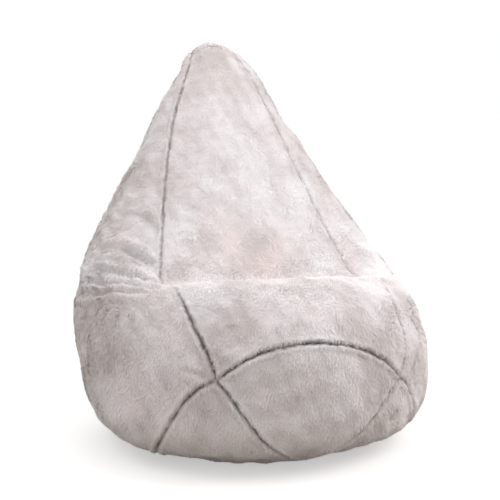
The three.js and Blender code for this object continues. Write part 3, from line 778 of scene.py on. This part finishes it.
# A cover panel: backing cloth as a thin closed sheet, and the pile on it
def makePanel(node, net, seed):
    angle, ring, cut = net
    rows, columns = angle.shape
    smooth = surfacePoint(angle, ring).reshape(-1, 3)
    facing = outward(angle, ring).reshape(-1, 3)
    depth, gap, which = clothDepth(smooth)
    points = smooth - facing * (pile["height"] + depth)[:, None]
    # the weight of the bag crushes the pile under it
    rest = pile["height"] * pile["crushed"]
    points[:, 2] = np.maximum(points[:, 2], rest)
    quads = gridFaces(rows, columns)
    normals = vertexNormals(points, quads)
    # painted shade: the cloth and the pile darken in a narrow band along each seam, the more so where the groove
    # is deeper
    shade = np.exp(-((gap / seamLook["shadeWidth"]) ** 1.5))
    paintedSeamShade = np.clip(shade * seams.depths[which] / seamLook["archDepth"], 0, 1)
    # how grey the pile looks, partly painted shade and painted highlight; it also sets how steeply the tufts rise
    look = brushShadeLook
    brushedShade = look["level"] + look["broad"] * waves(smooth, look["broadSize"], 11)
    brushedShade = brushedShade + look["small"] * waves(smooth, look["smallSize"], 12)
    blush = np.zeros(len(smooth))
    edge = look["edge"] * waves(smooth, look["edgeSize"], 13)
    for degrees, level, radius, ruffleShade, pink in shadedRuffleSpots:
        spot = surfacePoint(math.radians(degrees), level)
        near = bell(np.linalg.norm(smooth - spot, axis=1) + edge, 0, radius)
        brushedShade, blush = brushedShade + ruffleShade * near, blush + pink * near
    brushedShade = np.clip(brushedShade, 0, 1)
    away = unit(smooth - seams.places[which])
    down = unit(surfacePoint(angle, ring - 0.04) - surfacePoint(angle, ring + 0.04)).reshape(-1, 3)
    # sitting down has stroked the pile on the rim and the seat backwards
    turn = np.abs(np.arctan2(np.sin(angle), np.cos(angle)))
    stroked = smoothStep(ring, 5.0, 6.2) * (1 - smoothStep(ring, 7.1, 7.7)) * (1 - smoothStep(turn, 1.0, 1.4))
    stroked = math.pi * stroked.reshape(-1, 1)
    down = down * np.cos(stroked) + np.cross(facing, down) * np.sin(stroked)
    inner = points - normals * pile["backing"]
    inner[:, 2] = np.maximum(inner[:, 2], rest)
    both, faces = closedSheet(points.reshape(rows, columns, 3), inner.reshape(rows, columns, 3))
    cloth = makePiece(
        node + "_cloth", both, faces, plush, merge=2e-5,
        attributes=dict(
            rise=np.full(len(both), 0.7), brushedShade=np.tile(brushedShade, 2),
            blush=np.tile(blush, 2), paintedSeamShade=np.tile(paintedSeamShade, 2),
        ),
    )
    fields = (brushedShade, blush, paintedSeamShade, gap, away, down)
    fur = growPile(node + "_pile", points, normals, quads, fields, seed)
    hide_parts(node)


def makeCover():
    panels = [
        ("front_panel", panelNet(frontPatch)),
        ("right_side_panel", panelNet(sidePatch)),
        ("left_side_panel", panelNet(mirrored(sidePatch))),
        ("back_right_panel", panelNet(backPatch)),
        ("back_left_panel", panelNet(mirrored(backPatch))),
        ("front_lens_panel", panelNet(lensPatch)),
        ("base_panel", baseNet()),
    ]
    for seed, (node, net) in enumerate(panels):
        makePanel(node, net, 100 + seed)


makeCover()


# Measures in metres. Ribs are 0.5 mm apart and the streaks of the filament 1 mm long.
zipLook = dict(
    tape="#CFC6C1", tapeDark="#AAA09A", tapeWorn="#C6BCB6", ribs=700.0, wear=60.0,
    tapeStart=0.0009, thickness=0.0006, end=0.004, step=0.0025,
    ripple=0.00012, rippleSize=0.009, cockle=0.00004, cockleSize=0.0021,
    coil="#A79D97", coilPale="#BEB5AF", streaks=900.0,
    pitch=0.0015, wire=0.0003, coilMiddle=0.0019, coilRadius=0.00068, oval=1.12,
    nickel="#D6D3CE", nickelDark="#B1ADA7", rubSize=0.0025, edge=0.00025,
)
# Levels are below the surface of the pile
zips = dict(
    zip=dict(length=0.36, reach=0.013, tapeLevel=-0.01435, coilLevel=-0.0126),
    liner_zip=dict(length=0.3, reach=0.011, tapeLevel=-0.03035, coilLevel=-0.0286),
)


# Zip tape: flat woven polyester, with fine slanting ribs and a little wear
def makeTapeCloth():
    material, tree, shader, place = newMaterial("wovenPolyesterTape", Roughness=0.8, Sheen_Weight=0.15)
    ribs = addNode(
        tree, "ShaderNodeTexWave",
        {"Vector": place, "Scale": zipLook["ribs"], "Distortion": 1.5, "Detail": 2.0}, bands_direction="DIAGONAL",
    )
    wear = addNode(tree, "ShaderNodeTexNoise", {"Vector": place, "Scale": zipLook["wear"], "Detail": 4.0})
    colour = addNode(
        tree, "ShaderNodeMix", {0: ribs.outputs["Fac"], 6: zipLook["tapeDark"], 7: zipLook["tape"]},
        data_type="RGBA",
    ).outputs[2]
    colour = addNode(
        tree, "ShaderNodeMix", {0: wear.outputs["Fac"], 6: colour, 7: zipLook["tapeWorn"]},
        data_type="RGBA",
    ).outputs[2]
    finish(tree, shader, colour, ribs.outputs["Fac"], 0.5, 0.0002)
    return material


# Nylon coil: extruded filament, smooth and slightly clear, so it has a soft highlight on each turn
def makeCoilNylon():
    material, tree, shader, place = newMaterial("coiledNylon", Roughness=0.35, IOR=1.53, Subsurface_Weight=0.1)
    streak = addNode(
        tree, "ShaderNodeTexNoise", {"Vector": place, "Scale": zipLook["streaks"], "Detail": 2.0},
    )
    colour = addNode(
        tree, "ShaderNodeMix", {0: streak.outputs["Fac"], 6: zipLook["coil"], 7: zipLook["coilPale"]},
        data_type="RGBA",
    ).outputs[2]
    finish(tree, shader, colour)
    return material


# Nickel on die-cast zinc, tumbled: a warm grey mirror softened by fine scratches and worn edges
def makeNickel():
    material, tree, shader, place = newMaterial("tumbledNickelPlate", Metallic=1.0)
    rub = addNode(
        tree, "ShaderNodeTexNoise",
        {"Vector": place, "Scale": 1 / zipLook["rubSize"], "Detail": 5.0, "Roughness": 0.7},
    )
    colour = addNode(
        tree, "ShaderNodeMix", {0: rub.outputs["Fac"], 6: zipLook["nickelDark"], 7: zipLook["nickel"]},
        data_type="RGBA",
    ).outputs[2]
    dull = addNode(
        tree, "ShaderNodeMapRange",
        {"Value": rub.outputs["Fac"], "From Min": 0.3, "From Max": 0.7, "To Min": 0.22, "To Max": 0.42},
    )
    tree.links.new(dull.outputs[0], shader.inputs["Roughness"])
    finish(tree, shader, colour, rub.outputs["Fac"], 0.15, 0.0001)
    return material


tapeCloth, coilNylon, nickel = makeTapeCloth(), makeCoilNylon(), makeNickel()


# Tape beside one row of coil, rippled most at its outer edge
def makeTape(node, sign, reach, level, length):
    look = zipLook
    thickness, end, first = look["thickness"], look["end"], look["tapeStart"]
    across = np.linspace(first, first + reach, 10)[None]
    along = np.linspace(-end, length + end, int(length / look["step"]))[:, None]
    ripple = look["ripple"] * np.sin(along / look["rippleSize"] + sign) * (across / reach) ** 2
    ripple = ripple + look["cockle"] * np.sin(along / look["cockleSize"])
    x, z = np.broadcast_arrays(sign * across, along)
    top = zipPoint(x, level + thickness / 2 + ripple, z)
    under = zipPoint(x, level - thickness / 2 + ripple, z)
    if sign < 0:
        top, under = top[:, ::-1], under[:, ::-1]
    points, faces = closedSheet(top, under)
    piece = makePiece(node + "_weave", points, faces, tapeCloth)
    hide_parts(node)


# One row of coil: a slightly oval helix of filament
def makeCoil(node, sign, level, length):
    turnSteps, sides = 10, 6
    wire, radius = zipLook["wire"], zipLook["coilRadius"]
    turns = int(length / zipLook["pitch"])
    t = np.linspace(0, 1, turns * turnSteps + 1)
    turned = 2 * math.pi * turns * t
    x = sign * (zipLook["coilMiddle"] + radius * np.cos(turned))
    y = level + radius * zipLook["oval"] * np.sin(turned)
    middle = zipPoint(x, y, t * (length - 2 * wire) + wire)
    ahead = unit(np.gradient(middle, axis=0))
    first = unit(np.cross(ahead, zipAlong))
    second = np.cross(ahead, first)
    ring = np.arange(sides) * 2 * math.pi / sides
    points = middle[:, None] + wire * (
        first[:, None] * np.cos(ring)[None, :, None] + second[:, None] * np.sin(ring)[None, :, None]
    )
    count = len(middle)
    a = np.arange((count - 1) * sides).reshape(-1, sides)
    quads = np.stack([a, np.roll(a, -1, 1), np.roll(a, -1, 1) + sides, a + sides], -1).reshape(-1, 4)
    caps = np.stack([np.arange(sides)[::-1], np.arange(sides) + (count - 1) * sides])
    piece = makePiece(node + "_filament", points.reshape(-1, 3), [quads, caps], coilNylon)
    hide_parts(node)


# CAD metal parts keep their shape, with their edges rounded by the tumbling
def tumbleMetal(node):
    part = nodes[node]
    part.data.materials.clear()
    part.data.materials.append(nickel)
    bevel = part.modifiers.new("tumbled", "BEVEL")
    bevel.width, bevel.segments, bevel.limit_method = zipLook["edge"], 2, "ANGLE"
    bevel.harden_normals = False


def makeZips():
    for prefix, size in zips.items():
        for side, sign in (("left", -1), ("right", 1)):
            makeTape(f"{prefix}_tape_{side}", sign, size["reach"], size["tapeLevel"], size["length"])
            makeCoil(f"{prefix}_coil_{side}", sign, size["coilLevel"], size["length"])
            tumbleMetal(f"{prefix}_closed_stop_{side}")
        tumbleMetal(f"{prefix}_open_stop")
        tumbleMetal(f"{prefix}_slider")
    tumbleMetal("zip_pull")
    print("zips")


makeZips()


linerLook = dict(
    cloth="#DEDBD4", pale="#F0EEE9", slub="#E8E5DF", threads=160.0, slubs=25.0,
    wrinkle=0.0013, wrinkleSize=0.045, crease=0.0006, creaseSize=0.014, centre=(0, 0.08, 0.4), cutShare=0.8,
)


# Liner: plain-woven polyester, calendered, so it is off-white with a faint shine and crisp creases
def makeLinerCloth():
    material, tree, shader, place = newMaterial("wovenPolyesterLining", Roughness=0.6, Sheen_Weight=0.1)
    # threads 0.25 mm apart, drawn 2 mm apart so that they show
    warp, weft = (
        addNode(
            tree, "ShaderNodeTexWave", {"Vector": place, "Scale": linerLook["threads"]}, bands_direction=way,
        ).outputs["Fac"]
        for way in "XZ"
    )
    weave = addNode(tree, "ShaderNodeMath", {0: warp, 1: weft}, operation="MULTIPLY")
    slub = addNode(tree, "ShaderNodeTexNoise", {"Vector": place, "Scale": linerLook["slubs"], "Detail": 4.0})
    colour = addNode(
        tree, "ShaderNodeMix", {0: weave.outputs[0], 6: linerLook["cloth"], 7: linerLook["pale"]},
        data_type="RGBA",
    ).outputs[2]
    colour = addNode(
        tree, "ShaderNodeMix", {0: slub.outputs["Fac"], 6: colour, 7: linerLook["slub"]},
        data_type="RGBA",
    ).outputs[2]
    finish(tree, shader, colour, weave.outputs[0], 0.4, 0.0002)
    return material


# gap is the painted shade colour between the beads
beadLook = dict(
    gap="#D8D5CF", bead="#FAF9F6", size=0.005,
    lump=0.0012, lumpSize=0.011, sag=0.003, sagSize=0.15, sink=0.001,
)


# Expanded polystyrene: white foamed beads, matt with a slight glint, packed tight
def makeBeadFoam():
    material, tree, shader, place = newMaterial("expandedPolystyrene", Roughness=0.55, IOR=1.59)
    beads = addNode(tree, "ShaderNodeTexVoronoi", {"Vector": place, "Scale": 1 / beadLook["size"]})
    # painted shade: each bead is lighter in its middle and darker towards the gap colour between the beads; the
    # same dome also sets the bump
    beadDomeShade = addNode(
        tree, "ShaderNodeMapRange",
        {"Value": beads.outputs["Distance"], "From Max": 0.7, "To Min": 1.0, "To Max": 0.0},
    )
    colour = addNode(
        tree, "ShaderNodeMix", {0: beadDomeShade.outputs[0], 6: beadLook["gap"], 7: beadLook["bead"]},
        data_type="RGBA",
    ).outputs[2]
    finish(tree, shader, colour, beadDomeShade.outputs[0], 0.8, 0.001)
    return material


softLook = dict(sharpDegrees=55, crease=0.85, merge=1e-6)


# A soft copy of a CAD solid: subdivided with its edges kept fairly sharp, then its points moved
def softened(node, levels, material, move):
    mesh = nodes[node].data.copy()
    work = bmesh.new()
    work.from_mesh(mesh)
    bmesh.ops.remove_doubles(work, verts=work.verts, dist=softLook["merge"])
    crease = work.edges.layers.float.new("crease_edge")
    for edge in work.edges:
        if len(edge.link_faces) == 2 and edge.calc_face_angle() > math.radians(softLook["sharpDegrees"]):
            edge[crease] = softLook["crease"]
    work.to_mesh(mesh)
    work.free()
    piece = bpy.data.objects.new(node + "_soft", mesh)
    scene.collection.objects.link(piece)
    smoother = piece.modifiers.new("smooth", "SUBSURF")
    smoother.levels = smoother.render_levels = levels
    view = bpy.context.evaluated_depsgraph_get()
    final = bpy.data.meshes.new_from_object(piece.evaluated_get(view), depsgraph=view)
    piece.modifiers.clear()
    piece.data = final
    count = len(final.vertices)
    points, normals = np.zeros(count * 3, np.float32), np.zeros(count * 3, np.float32)
    final.vertices.foreach_get("co", points)
    final.vertex_normals.foreach_get("vector", normals)
    points, normals = points.reshape(-1, 3).astype(float), normals.reshape(-1, 3)
    points += move(points, normals)
    final.vertices.foreach_set("co", points.astype(np.float32).ravel())
    final.polygons.foreach_set("use_smooth", np.ones(len(final.polygons), bool))
    final.materials.clear()
    final.materials.append(material)
    final.update()
    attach(piece, "root")
    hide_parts(node)
    return piece


# Both faces of the thin cloth move together, so it keeps its thickness
def wrinkleLiner(points, normals):
    look = linerLook
    height = look["wrinkle"] * waves(points, look["wrinkleSize"], 51)
    height += look["crease"] * np.abs(waves(points, look["creaseSize"], 52))
    return unit(points - np.array(look["centre"])) * height[:, None]


def lumpBeads(points, normals):
    look = beadLook
    height = look["lump"] * waves(points, look["lumpSize"], 61)
    height = height + look["sag"] * waves(points, look["sagSize"], 62)
    return normals * (height - look["sink"])[:, None]


def makeInside():
    lining, foam = makeLinerCloth(), makeBeadFoam()
    fill = softened("bean_fill", 3, foam, lumpBeads)
    for node in ("liner_front", "liner_back_left", "liner_back_right", "liner_base"):
        piece = softened(node, 2, lining, wrinkleLiner)
    print("liner and beads")


makeInside()


# Care label: a blank folded ribbon of woven satin, soft and a little curled
def makeLabel():
    look = dict(
        height=0.036, reach=0.016, sewn=0.012, curl=0.0035, thickness=0.00022, gap=0.0003, ring=3.6,
        ribbon="#E7E3DC", pale="#F6F4EF", threads=500.0, across=26, around=24,
    )
    material, tree, shader, place = newMaterial("wovenSatinRibbon", Roughness=0.45, Sheen_Weight=0.2)
    # threads 0.2 mm apart, drawn 0.6 mm apart so that they show
    threads = addNode(
        tree, "ShaderNodeTexWave", {"Vector": place, "Scale": look["threads"], "Distortion": 0.6},
        bands_direction="Z",
    )
    colour = addNode(
        tree, "ShaderNodeMix", {0: threads.outputs["Fac"], 6: look["ribbon"], 7: look["pale"]},
        data_type="RGBA",
    ).outputs[2]
    finish(tree, shader, colour, threads.outputs["Fac"], 0.4, 0.0001)
    ring = np.array([look["ring"]])
    origin, out = surfacePoint(np.array([math.pi]), ring)[0], outward(np.array([math.pi]), ring)[0]
    up = np.array([0, -out[2], out[1]])
    reach = np.linspace(-look["sewn"], look["reach"], look["around"])
    # out on one side, round the fold and back on the other
    fold = look["gap"] / 2 + look["thickness"]
    run = np.concatenate([reach, [look["reach"] + fold], reach[::-1]])
    offset = np.concatenate([np.full(look["around"], fold), [0], np.full(look["around"], -fold)])
    share = np.clip(run / look["reach"], 0, 1)
    levels = np.linspace(-0.5, 0.5, look["across"]) * look["height"]
    bend = look["curl"] * share**2 * (0.7 + 0.5 * levels[:, None] / look["height"])
    place = origin + run[None, :, None] * out + levels[:, None, None] * up
    sideways = np.array([1.0, 0, 0])
    top = place + (bend + offset)[..., None] * sideways
    inset = np.where(np.abs(offset) > 0, offset - np.sign(offset) * look["thickness"], 0)
    under = place + (bend + inset)[..., None] * sideways
    under = under - (offset == 0)[None, :, None] * look["thickness"] * out
    points, faces = closedSheet(top[:, ::-1], under[:, ::-1])
    label = makePiece("care_label_ribbon", points, faces, material)
    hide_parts("care_label")
    print("label")


makeLabel()
